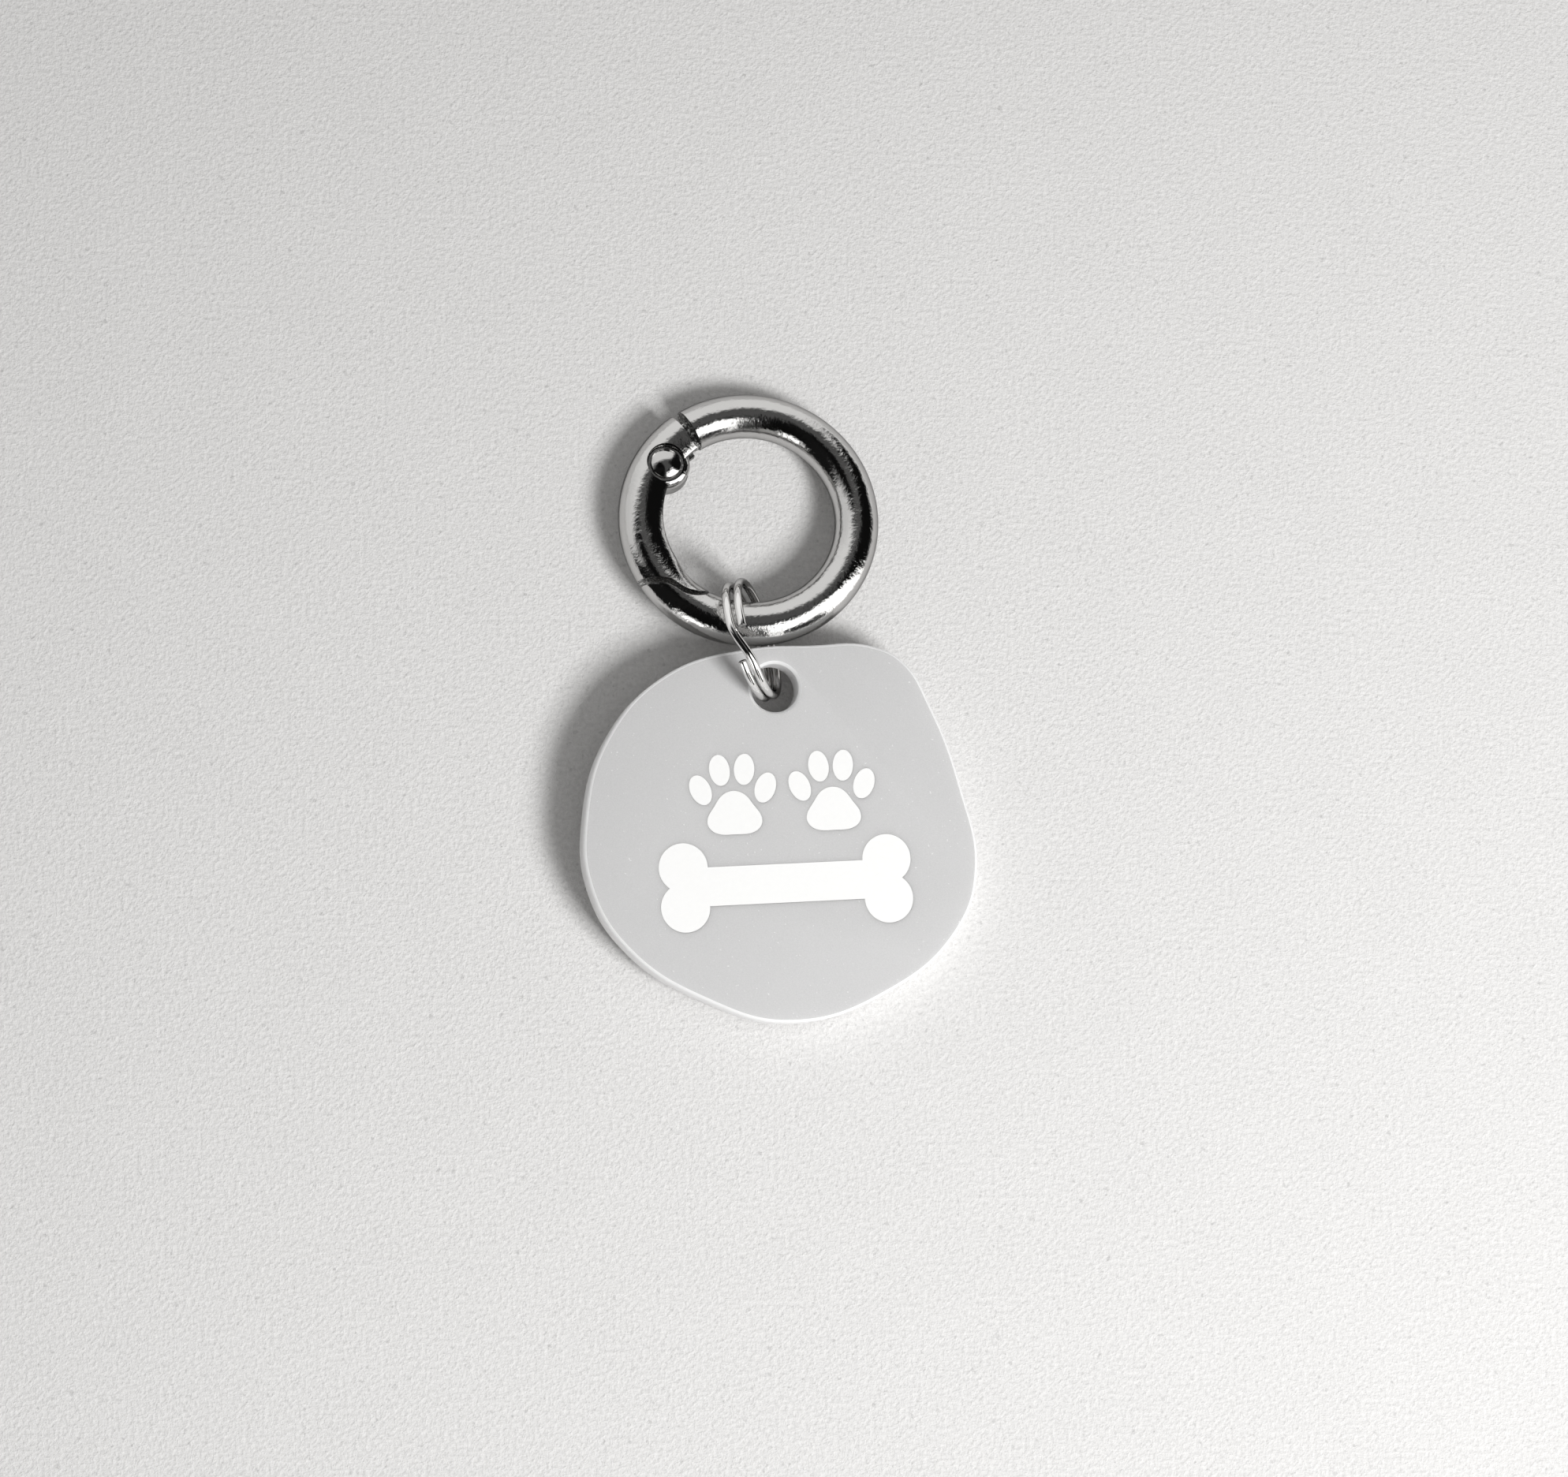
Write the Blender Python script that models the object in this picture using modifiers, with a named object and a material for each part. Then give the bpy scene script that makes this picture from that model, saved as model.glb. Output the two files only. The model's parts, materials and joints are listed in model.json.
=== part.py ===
"""Pet identity tag: an acrylic disc on a split ring, hung from a round spring-gate clip.

Metres, +Z up. The set lies on a flat surface at z = 0, as it does on a table: the clip's far
side rests on the surface, its near side leans on the split ring, and the disc rests on its
lower right edge. Run it with: blender --background --python part.py
"""
from math import asin, atan2, cos, hypot, pi, radians, sin

import bmesh
import bpy
from mathutils import Matrix, Vector

MM = 0.001

# Where the clip's middle stands, which puts the whole set's footprint round the origin
CLIP_X = -2.341 * MM
CLIP_Y = 17.91 * MM

# Spring-gate clip: a closed round of cast metal, seen in plan
CLIP_RADIUS = 10.4 * MM          # middle of the section, so the eye is 16.6 mm wide
SECTION_RADIUS = 2.1 * MM
NOSE_GAP = 0.6 * MM              # between the gate's tip and the frame's nose
NOSE_LEAN = 72.0                 # direction in which the gap is measured
NOSE_STEP = [                    # share of the section from its inner side, and angle in plan
    (1.6, 206.0), (0.8, 214.5), (0.49, 221.0), (0.38, 231.5), (0.12, 240.5), (-0.45, 251.0),
]
SHOULDER_ANGLE = 121.5           # end of the frame's full section, anticlockwise from +X
HINGE_GROOVE = 0.85 * MM         # open slit between the shoulder and the gate's end

# The hinge: the gate's two cheeks hold the pin, the frame's tang turns between them
HINGE_ANGLE = 147.2
HINGE_INSET = 0.95 * MM          # from the middle of the section towards the eye
KNUCKLE_RADIUS = 2.4 * MM
KNUCKLE_HALF_HEIGHT = 1.6 * MM
KNUCKLE_ROUNDING = 0.9 * MM
SLOT_HALF_HEIGHT = 0.95 * MM
SLOT_OUTER_WALL = 1.05 * MM      # metal left outside the slot
SLOT_MOUTH = (5.0 * MM, -0.6 * MM)   # from the pin to the corner where the tang swings out
TANG_SIDE_CLEARANCE = 0.25 * MM
TANG_SETBACK = 0.25 * MM         # from the eye's wall to the tang's inner side
TANG_ROOT = 8.0                  # degrees by which the tang reaches into the shoulder
TANG_EYE_RADIUS = 1.5 * MM
TANG_EYE_THICKNESS = 0.5 * MM
PIN_RADIUS = 0.6 * MM
PIN_CLEARANCE = 0.15 * MM
PIN_HEAD_RADIUS = 1.45 * MM
PIN_HEAD_EDGE = 0.12 * MM        # upright edge below the dome
PIN_HEAD_DOME = 0.42 * MM
COUNTERSINK_CLEARANCE = 0.4 * MM
CHEEK_UNDER_HEAD = 0.4 * MM

# Torsion spring on the pin, between the tang's eye and the upper cheek
SPRING_WIRE = 0.2 * MM
SPRING_PIN_CLEARANCE = 0.32 * MM
SPRING_END_CLEARANCE = 0.09 * MM
SPRING_TURNS = 2.0
SPRING_START = 60.0              # degrees round the pin
SPRING_LEG = 0.55 * MM

# Split ring: two turns of round wire with a crossing between their ends
WIRE_DIAMETER = 0.8 * MM
SPLIT_RING_RADIUS = 5.55 * MM    # middle of the wire
TURN_GAP = 0.41 * MM
WIRE_END_NEAR = 64.5             # degrees round the split ring, from the disc's side
WIRE_END_FAR = 97.5
CROSSING = 55.0                  # degrees over which the wire crosses, past both of its ends
WIRE_STEP = 7.5                  # degrees between the points of the wire's middle line
SPLIT_RING_PLACE = 270.2         # where it crosses the clip, anticlockwise from +X
SPLIT_RING_YAW = -75.5
SPLIT_RING_LEAN = 20.0
CLIP_SEAT_ANGLE = -132.0         # where the clip's section lies inside the split ring
CLIP_SEAT_CLEARANCE = 0.42 * MM
HOLE_SEAT_ANGLE = -24.6          # where the wire passes through the disc's hole
HOLE_SEAT_INSET = 0.3 * MM
HOLE_SEAT_SIDE = -0.12 * MM      # the hole's middle from the middle of the two turns

# Disc: frosted acrylic sheet, cut to a soft pebble outline
DISC_WIDTH = 37.5 * MM
DISC_THICKNESS = 3.0 * MM
DISC_EDGE = 0.2 * MM
HOLE_RADIUS = 2.3 * MM
DISC_RAISED_TOWARDS = 149.0      # compass of the disc's high side, anticlockwise from +X
DISC_UNIT = DISC_WIDTH / 37.5    # the outline and the places on it are drawn in this unit
DISC_OUTLINE = [                 # from the middle of the hole, clockwise
    (-2.7, 3.65), (3.6, 4.12), (9.2, 4.2), (12.4, 2.75), (15.1, -1.6), (17.9, -9.2),
    (19.35, -17.2), (17.3, -23.0), (10.6, -28.7), (1.2, -31.6), (-6.9, -29.5),
    (-14.3, -24.7), (-17.7, -19.0), (-18.15, -12.6), (-15.9, -4.8), (-10.3, 1.15),
]

# Engraving in the disc's face: two paw prints over a bone, filled with white paint
ENGRAVING_DEPTH = 0.45 * MM
FILL_CLEARANCE = 0.1 * MM
ENGRAVING_TURN = 3.0
PAW_WIDTH = 8.2 * MM
PAW_PLACES = ((-4.1, -10.4), (5.4, -9.9))
BONE_LENGTH = 24.0 * MM
BONE_LOBE = 2.25 * MM
BONE_WAIST = 1.75 * MM
BONE_PLACE = (0.9, -18.5)


def angle_point(radius, degrees, centre=(0.0, 0.0)):
    """A point in plan at an angle, anticlockwise from +X."""
    return (centre[0] + radius * cos(radians(degrees)), centre[1] + radius * sin(radians(degrees)))


def arc(radius, start, end, steps, centre=(0.0, 0.0)):
    """Points along an arc, both ends included."""
    return [angle_point(radius, start + (end - start) * i / steps, centre) for i in range(steps + 1)]


def new_collection(name):
    collection = bpy.data.collections.new(name)
    bpy.context.scene.collection.children.link(collection)
    return collection


def material(name, colour, roughness, metallic):
    made = bpy.data.materials.new(name)
    made.use_nodes = True
    shader = made.node_tree.nodes["Principled BSDF"]
    shader.inputs["Base Color"].default_value = (*colour, 1.0)
    shader.inputs["Roughness"].default_value = roughness
    shader.inputs["Metallic"].default_value = metallic
    made.diffuse_color = (*colour, 1.0)
    return made


def place(obj, collection, parent=None, location=(0.0, 0.0, 0.0)):
    """Put an object in a collection, under a parent."""
    for other in list(obj.users_collection):
        other.objects.unlink(obj)
    collection.objects.link(obj)
    obj.parent = parent
    obj.location = location
    return obj


def empty(name, parent=None, matrix=Matrix.Identity(4)):
    """A guide that carries pieces; its Z axis is the axis of a joint."""
    obj = bpy.data.objects.new(name, None)
    obj.empty_display_size = 4 * MM
    bpy.context.scene.collection.objects.link(obj)
    obj.parent = parent
    obj.matrix_basis = matrix
    return obj


def mesh_of_curve(curve, name):
    """A welded mesh of a curve, which is then removed."""
    source = bpy.data.objects.new(name + "_curve", curve)
    bpy.context.scene.collection.objects.link(source)
    bpy.context.view_layer.update()
    evaluated = source.evaluated_get(bpy.context.evaluated_depsgraph_get())
    mesh = bpy.data.meshes.new_from_object(evaluated)
    bpy.data.objects.remove(source)
    mesh.name = name
    form = bmesh.new()
    form.from_mesh(mesh)
    bmesh.ops.remove_doubles(form, verts=form.verts, dist=0.000001)
    bmesh.ops.recalc_face_normals(form, faces=form.faces)
    form.to_mesh(mesh)
    form.free()
    return bpy.data.objects.new(name, mesh)


def plate(name, outline, low, high):
    """A flat outline with a thickness, from low to high in Z."""
    curve = bpy.data.curves.new(name, "CURVE")
    curve.dimensions = "2D"
    curve.fill_mode = "BOTH"
    curve.extrude = (high - low) / 2
    line = curve.splines.new("POLY")
    line.points.add(len(outline) - 1)
    for point, (x, y) in zip(line.points, outline):
        point.co = (x, y, 0.0, 1.0)
    line.use_cyclic_u = True
    obj = mesh_of_curve(curve, name)
    obj.data.transform(Matrix.Translation((0.0, 0.0, (low + high) / 2)))
    return obj


def cylinder(name, radius, low, high, segments=32):
    """An upright cylinder from low to high in Z."""
    mesh = bpy.data.meshes.new(name)
    form = bmesh.new()
    bmesh.ops.create_cone(form, cap_ends=True, segments=segments, radius1=radius, radius2=radius,
                          depth=high - low)
    bmesh.ops.translate(form, verts=form.verts, vec=(0.0, 0.0, (low + high) / 2))
    form.to_mesh(mesh)
    form.free()
    return bpy.data.objects.new(name, mesh)


def torus(name, ring_radius, section_radius, segments=96, sides=24):
    """A full round of the clip's section, about Z."""
    bpy.ops.mesh.primitive_torus_add(major_radius=ring_radius, minor_radius=section_radius,
                                     major_segments=segments, minor_segments=sides)
    obj = bpy.context.object
    obj.name = name
    obj.data.name = name
    return obj


def combine(obj, other, operation):
    """Cut, join or trim an object with another one, which stays as a guide."""
    modifier = obj.modifiers.new(operation.title() + " " + other.name, "BOOLEAN")
    modifier.operation = operation
    modifier.solver = "EXACT"
    modifier.object = other
    other.hide_render = True
    other.display_type = "WIRE"


def wire(name, points, radius, resolution):
    """A round wire along points, with flat filled ends."""
    curve = bpy.data.curves.new(name, "CURVE")
    curve.dimensions = "3D"
    curve.bevel_depth = radius
    curve.bevel_resolution = resolution
    curve.use_fill_caps = True
    line = curve.splines.new("POLY")
    line.points.add(len(points) - 1)
    for point, place_ in zip(line.points, points):
        point.co = (*place_, 1.0)
    line.use_smooth = True
    return bpy.data.objects.new(name, curve)


def finish(obj, coat, smooth=40):
    """Give a piece its material and round shading."""
    obj.data.materials.clear()
    obj.data.materials.append(coat)
    if isinstance(obj.data, bpy.types.Mesh):
        obj.data.shade_smooth()
        obj.data.set_sharp_from_angle(angle=radians(smooth))
    return obj


class ClipShape:
    """Plan outlines of the clip, in its own frame: its middle at the origin, Z its axis."""

    def __init__(self):
        self.inner = CLIP_RADIUS - SECTION_RADIUS
        self.outer = CLIP_RADIUS + SECTION_RADIUS
        self.clear = 2 * SECTION_RADIUS
        self.pin = angle_point(CLIP_RADIUS - HINGE_INSET, HINGE_ANGLE)
        self.gate_end = SHOULDER_ANGLE + HINGE_GROOVE / CLIP_RADIUS * 180 / pi

    def nose_line(self, towards_gate):
        """The step between the gate and the nose, shifted to one side by half the gap."""
        shift = angle_point(towards_gate * NOSE_GAP / 2, NOSE_LEAN)
        ends = [angle_point(self.inner + share * 2 * SECTION_RADIUS, angle)
                for share, angle in NOSE_STEP]
        return [(x + shift[0], y + shift[1]) for x, y in curve_through(ends, 5)]

    def region(self, start_angle, towards_gate):
        """Everything in plan from an end angle round to the step, past both sides of the round."""
        nose = self.nose_line(towards_gate)
        outside = self.outer + self.clear
        last = atan2(nose[0][1], nose[0][0]) * 180 / pi % 360
        inside = [angle_point(self.inner - self.clear, angle)
                  for angle in (236, 215, 190, 165, 145, start_angle)]
        return arc(outside, start_angle, last, 20) + nose + inside

    def tang(self):
        """The frame's tongue in plan: from inside the shoulder to a round eye on the pin."""
        root = SHOULDER_ANGLE - TANG_ROOT
        outer = self.outer - SLOT_OUTER_WALL - TANG_SIDE_CLEARANCE
        inner = self.inner + TANG_SETBACK
        eye = arc(TANG_EYE_RADIUS, HINGE_ANGLE, HINGE_ANGLE + 180, 12, self.pin)
        return (arc(outer, root, HINGE_ANGLE - 7, 8) + eye
                + arc(inner, HINGE_ANGLE - 8, root, 6))

    def slot(self):
        """The gate's slot in plan, open at its end and inwards, where the tang swings out."""
        wall = self.outer - SLOT_OUTER_WALL
        eye = TANG_EYE_RADIUS + TANG_SIDE_CLEARANCE
        mouth = (self.pin[0] + SLOT_MOUTH[0], self.pin[1] + SLOT_MOUTH[1])
        return (arc(wall, SHOULDER_ANGLE - 3, HINGE_ANGLE - 7, 8)
                + arc(eye, HINGE_ANGLE + 10, HINGE_ANGLE + 150, 12, self.pin) + [mouth])


def curve_through(points, steps):
    """A smooth open line through points, each span in steps."""
    line = []
    for i in range(len(points) - 1):
        before = points[max(i - 1, 0)]
        a, b = points[i], points[i + 1]
        after = points[min(i + 2, len(points) - 1)]
        for j in range(steps):
            t = j / steps
            line.append(tuple(
                0.5 * (2 * a[k] + (b[k] - before[k]) * t
                       + (2 * before[k] - 5 * a[k] + 4 * b[k] - after[k]) * t * t
                       + (3 * a[k] - before[k] - 3 * b[k] + after[k]) * t ** 3)
                for k in range(2)))
    return line + [points[-1]]


class Pose:
    """How the clip, the split ring and the disc lean on each other and on the surface."""

    def __init__(self):
        yaw, lean = radians(SPLIT_RING_YAW), radians(SPLIT_RING_LEAN)
        side = Vector((sin(yaw), -cos(yaw), 0.0))
        self.along = Vector((cos(yaw), sin(yaw), 0.0))
        self.up = Vector((0.0, 0.0, 1.0)) * cos(lean) + side * sin(lean)
        self.across = self.along.cross(self.up)
        wire_radius = WIRE_DIAMETER / 2
        self.turn_offset = (WIRE_DIAMETER + TURN_GAP) / 2
        ring_height = (SPLIT_RING_RADIUS * cos(lean) + self.turn_offset * sin(lean) + wire_radius)

        # The clip's section lies inside the split ring, and lifts the clip's near side
        seat = SPLIT_RING_RADIUS - wire_radius - SECTION_RADIUS - CLIP_SEAT_CLEARANCE
        seat_angle = radians(CLIP_SEAT_ANGLE)
        in_plane = self.along * cos(seat_angle) + self.up * sin(seat_angle)
        section_height = ring_height + seat * in_plane.z
        self.clip_tilt = asin((section_height - SECTION_RADIUS) / (2 * CLIP_RADIUS))
        place_angle = radians(SPLIT_RING_PLACE)
        outward = Vector((cos(place_angle), sin(place_angle), 0.0))
        clip_height = SECTION_RADIUS + CLIP_RADIUS * sin(self.clip_tilt)
        self.clip = (Matrix.Translation((0.0, 0.0, clip_height))
                     @ Matrix.Rotation(self.clip_tilt, 4, Vector((outward.y, -outward.x, 0.0))))
        crossing = self.clip @ (outward * CLIP_RADIUS)
        self.ring_centre = crossing - in_plane * seat

        # Columns: towards the disc, up, across the two turns, so Z is the split ring's axis
        self.split_ring = Matrix.Translation(self.ring_centre) @ axes(self.along, self.up)

        # The disc hangs on the wire at its hole, and its low side rests on the surface
        hole_angle = radians(HOLE_SEAT_ANGLE)
        reach = SPLIT_RING_RADIUS - HOLE_SEAT_INSET
        hole = (self.ring_centre + self.across * HOLE_SEAT_SIDE
                + (self.along * cos(hole_angle) + self.up * sin(hole_angle)) * reach)
        high_side = radians(DISC_RAISED_TOWARDS)
        downhill = Vector((-cos(high_side), -sin(high_side), 0.0))
        span = max((x * downhill.x + y * downhill.y) * DISC_UNIT for x, y in DISC_OUTLINE)
        half = DISC_THICKNESS / 2
        tilt = asin(hole.z / hypot(span, half)) - atan2(half, span)
        normal = Vector((0.0, 0.0, 1.0)) * cos(tilt) + downhill * sin(tilt)
        away = Vector((0.0, 1.0, 0.0))
        away = (away - normal * away.dot(normal)).normalized()
        self.disc = Matrix.Translation(hole) @ axes(away.cross(normal), away)


def axes(first, second):
    """A turn whose X and Y are two given directions."""
    third = first.cross(second)
    return Matrix((first, second, third)).transposed().to_4x4()


def hinge_cut(name, low, high):
    """A running hole for the pin."""
    return cylinder(name, PIN_RADIUS + PIN_CLEARANCE, low, high, 24)


def build_ring_frame(shape, parts, cutters, clip, pivot, coat):
    """The frame: most of the round, its stepped nose, and the tang that carries the pin."""
    frame = place(torus("ring_frame", CLIP_RADIUS, SECTION_RADIUS), parts, clip)
    reach = 2 * SECTION_RADIUS
    gate_space = place(plate("gate_space", shape.region(SHOULDER_ANGLE, -1), -reach, reach),
                       cutters, clip)
    combine(frame, gate_space, "DIFFERENCE")

    tang_half = SLOT_HALF_HEIGHT - TANG_SIDE_CLEARANCE
    tang = place(plate("tang", shape.tang(), -tang_half, tang_half), cutters, clip)
    eye_top = -tang_half + TANG_EYE_THICKNESS
    room = TANG_EYE_RADIUS + TANG_SIDE_CLEARANCE
    coil_room = place(cylinder("coil_room", room, eye_top, reach), cutters, pivot)
    combine(tang, coil_room, "DIFFERENCE")
    combine(tang, place(hinge_cut("tang_hole", -reach, reach), cutters, pivot), "DIFFERENCE")
    combine(frame, tang, "UNION")
    return finish(frame, coat)


def build_gate(shape, parts, cutters, clip, pivot, coat):
    """The gate: the rest of the round, a knuckle round the pin, and two cheeks on the tang."""
    reach = 2 * SECTION_RADIUS
    gate = place(torus("gate", CLIP_RADIUS, SECTION_RADIUS), parts, pivot)
    gate.data.transform(Matrix.Translation((-shape.pin[0], -shape.pin[1], 0.0)))
    region = place(plate("gate_region", shape.region(shape.gate_end, 1), -reach, reach),
                   cutters, clip)
    combine(gate, region, "INTERSECT")

    knuckle = place(cylinder("knuckle", KNUCKLE_RADIUS, -KNUCKLE_HALF_HEIGHT,
                             KNUCKLE_HALF_HEIGHT, 48), cutters, pivot)
    rounding = knuckle.modifiers.new("Rounding", "BEVEL")
    rounding.width = KNUCKLE_ROUNDING
    rounding.segments = 4
    rounding.limit_method = "ANGLE"
    combine(gate, knuckle, "UNION")

    slot = place(plate("slot", shape.slot(), -SLOT_HALF_HEIGHT, SLOT_HALF_HEIGHT), cutters, clip)
    combine(gate, slot, "DIFFERENCE")
    combine(gate, place(hinge_cut("cheek_hole", -reach, reach), cutters, pivot), "DIFFERENCE")
    floor = SLOT_HALF_HEIGHT + CHEEK_UNDER_HEAD
    for name, low, high in (("upper_recess", floor, reach), ("lower_recess", -reach, -floor)):
        wide = PIN_HEAD_RADIUS + COUNTERSINK_CLEARANCE
        recess = place(cylinder(name, wide, low, high, 36), cutters, pivot)
        combine(gate, recess, "DIFFERENCE")
    return finish(gate, coat)


def build_hinge_pin(parts, pivot, coat):
    """The rivet: a turned shank with a domed head at each end."""
    under = SLOT_HALF_HEIGHT + CHEEK_UNDER_HEAD + PIN_CLEARANCE
    edge = under + PIN_HEAD_EDGE
    dome = [(PIN_HEAD_RADIUS * sin(radians(a)), edge + PIN_HEAD_DOME * cos(radians(a)))
            for a in (0, 22, 44, 64, 80, 90)]
    half = dome + [(PIN_HEAD_RADIUS, under), (PIN_RADIUS, under)]
    profile = half + [(x, -z) for x, z in reversed(half)]
    mesh = bpy.data.meshes.new("hinge_pin")
    mesh.from_pydata([(x, 0.0, z) for x, z in profile],
                     [(i, i + 1) for i in range(len(profile) - 1)], [])
    pin = place(bpy.data.objects.new("hinge_pin", mesh), parts, pivot)
    turned = pin.modifiers.new("Turned", "SCREW")
    turned.steps = 36
    turned.render_steps = 36
    turned.use_merge_vertices = True
    turned.merge_threshold = 0.000005
    return finish(pin, coat)


def build_gate_spring(parts, pivot, coat):
    """The torsion spring round the pin: its legs press on the tang and on the gate."""
    room = SPRING_WIRE / 2 + SPRING_END_CLEARANCE
    low = TANG_SIDE_CLEARANCE - SLOT_HALF_HEIGHT + TANG_EYE_THICKNESS + room
    high = SLOT_HALF_HEIGHT - room
    radius = PIN_RADIUS + SPRING_PIN_CLEARANCE + SPRING_WIRE / 2
    start = radians(SPRING_START)
    end = start + SPRING_TURNS * 2 * pi
    count = int(10 * SPRING_TURNS)
    coil = []
    for i in range(count + 1):
        share = i / count
        turn = start + (end - start) * share
        coil.append(Vector((radius * cos(turn), radius * sin(turn), low + (high - low) * share)))
    first = coil[0] + Vector((sin(start), -cos(start), 0.0)) * SPRING_LEG
    last = coil[-1] + Vector((-sin(end), cos(end), 0.0)) * SPRING_LEG
    spring = wire("gate_spring", [first] + coil + [last], SPRING_WIRE / 2, 1)
    return finish(place(spring, parts, pivot), coat)


def split_ring_points(offset):
    """The wire's middle line: one turn, a crossing to the other side, then the second turn."""
    travel = WIRE_END_NEAR - WIRE_END_FAR + 720
    crossing_at = (travel - CROSSING) / 2
    count = round(travel / WIRE_STEP)
    points = []
    for i in range(count + 1):
        gone = travel * i / count
        angle = radians(WIRE_END_NEAR - gone)
        share = min(max((gone - crossing_at) / CROSSING, 0.0), 1.0)
        side = offset * cos(pi * share)
        points.append(Vector((SPLIT_RING_RADIUS * cos(angle), SPLIT_RING_RADIUS * sin(angle), side)))
    return points


def least_gap(points, diameter, skip):
    """The least clear space between parts of a wire that lie more than skip apart along it."""
    least = 1.0
    for i, a in enumerate(points):
        for b in points[i + skip:]:
            least = min(least, (a - b).length - diameter)
    return least


def build_split_ring(parts, ring, offset, coat):
    points = split_ring_points(offset)
    print("split ring: least gap to itself %.2f mm" % (least_gap(points, WIRE_DIAMETER, 8) / MM))
    return finish(place(wire("split_ring", points, WIRE_DIAMETER / 2, 2), parts, ring), coat)


def bone_outline(grow):
    """Four round lobes and a bar, in plan, grown by a clearance."""
    lobe = BONE_LOBE + grow
    middle = BONE_LENGTH / 2 - BONE_LOBE
    rise = BONE_LOBE * 0.83
    bar = BONE_WAIST + grow
    meets_bar = 180 - asin((bar - rise) / lobe) * 180 / pi
    meets_middle = -asin(rise / lobe) * 180 / pi
    quarter = arc(lobe, meets_bar, meets_middle, 14, (middle, rise))
    right = quarter + [(x, -y) for x, y in reversed(quarter[:-1])]
    return right + [(-x, y) for x, y in reversed(right)]


def paw_outlines(grow):
    """A pad and four toes, each a closed outline grown by a clearance."""
    unit = PAW_WIDTH / 8.2
    pad = []
    for i in range(28):
        angle = 2 * pi * i / 28
        reach = 2.15 * unit * (1 - 0.13 * sin(3 * angle)) + grow
        pad.append((1.12 * reach * cos(angle), 0.92 * reach * sin(angle) - 1.75 * unit))
    outlines = [pad]
    for x, y, lean in ((-3.1, 0.75, 22), (-1.18, 2.55, 6), (1.18, 2.55, -6), (3.1, 0.75, -22)):
        toe = []
        for i in range(18):
            angle = 2 * pi * i / 18
            wide = (0.9 * unit + grow) * cos(angle)
            tall = (1.4 * unit + grow) * sin(angle)
            turn = radians(lean)
            toe.append((x * unit + wide * cos(turn) - tall * sin(turn),
                        y * unit + wide * sin(turn) + tall * cos(turn)))
        outlines.append(toe)
    return outlines


def moved(outline, spot):
    """An outline turned with the engraving and set at its place on the disc."""
    turn = radians(ENGRAVING_TURN)
    return [(x * cos(turn) - y * sin(turn) + spot[0] * DISC_UNIT,
             x * sin(turn) + y * cos(turn) + spot[1] * DISC_UNIT) for x, y in outline]


def engraving(grow):
    """Every engraved outline by the name of its fill: the paws' pads and toes, and the bone."""
    outlines = {"bone_fill": moved(bone_outline(grow), BONE_PLACE)}
    for side, spot in zip(("left", "right"), PAW_PLACES):
        pad, *toes = paw_outlines(grow)
        outlines[side + "_paw_pad_fill"] = moved(pad, spot)
        for number, toe in enumerate(toes, 1):
            outlines["%s_paw_toe_%d_fill" % (side, number)] = moved(toe, spot)
    return outlines


def joined_plates(name, outlines, low, high):
    """Plates of several outlines as one object of separate bodies."""
    form = bmesh.new()
    for outline in outlines:
        one = plate(name + "_one", outline, low, high)
        form.from_mesh(one.data)
        bpy.data.objects.remove(one)
    mesh = bpy.data.meshes.new(name)
    form.to_mesh(mesh)
    form.free()
    return bpy.data.objects.new(name, mesh)


def build_disc(parts, cutters, disc, coat):
    """The disc: a smooth closed outline, softened edges, a hole and the engraved pockets."""
    curve = bpy.data.curves.new("disc_outline", "CURVE")
    curve.dimensions = "2D"
    curve.fill_mode = "BOTH"
    curve.extrude = DISC_THICKNESS / 2
    curve.resolution_u = 6
    line = curve.splines.new("BEZIER")
    line.bezier_points.add(len(DISC_OUTLINE) - 1)
    for point, (x, y) in zip(line.bezier_points, DISC_OUTLINE):
        point.co = (x * DISC_UNIT, y * DISC_UNIT, 0.0)
        point.handle_left_type = "AUTO"
        point.handle_right_type = "AUTO"
    line.use_cyclic_u = True
    plate_ = place(mesh_of_curve(curve, "tag_disc"), parts, disc)
    edges = plate_.modifiers.new("Softened edges", "BEVEL")
    edges.width = DISC_EDGE
    edges.segments = 2
    edges.limit_method = "ANGLE"
    edges.angle_limit = radians(60)
    half = DISC_THICKNESS / 2
    hole = place(cylinder("disc_hole", HOLE_RADIUS, -DISC_THICKNESS, DISC_THICKNESS, 40),
                 cutters, disc)
    combine(plate_, hole, "DIFFERENCE")
    pockets = joined_plates("pockets", engraving(FILL_CLEARANCE).values(),
                            half - ENGRAVING_DEPTH, half + DISC_THICKNESS)
    combine(plate_, place(pockets, cutters, disc), "DIFFERENCE")
    return finish(plate_, coat)


def build_fills(parts, disc, coat):
    """The paint that fills the engraving, level with the disc's face."""
    half = DISC_THICKNESS / 2
    low = half - ENGRAVING_DEPTH + FILL_CLEARANCE
    for name, outline in engraving(0.0).items():
        finish(place(plate(name, outline, low, half), parts, disc), coat)


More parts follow.
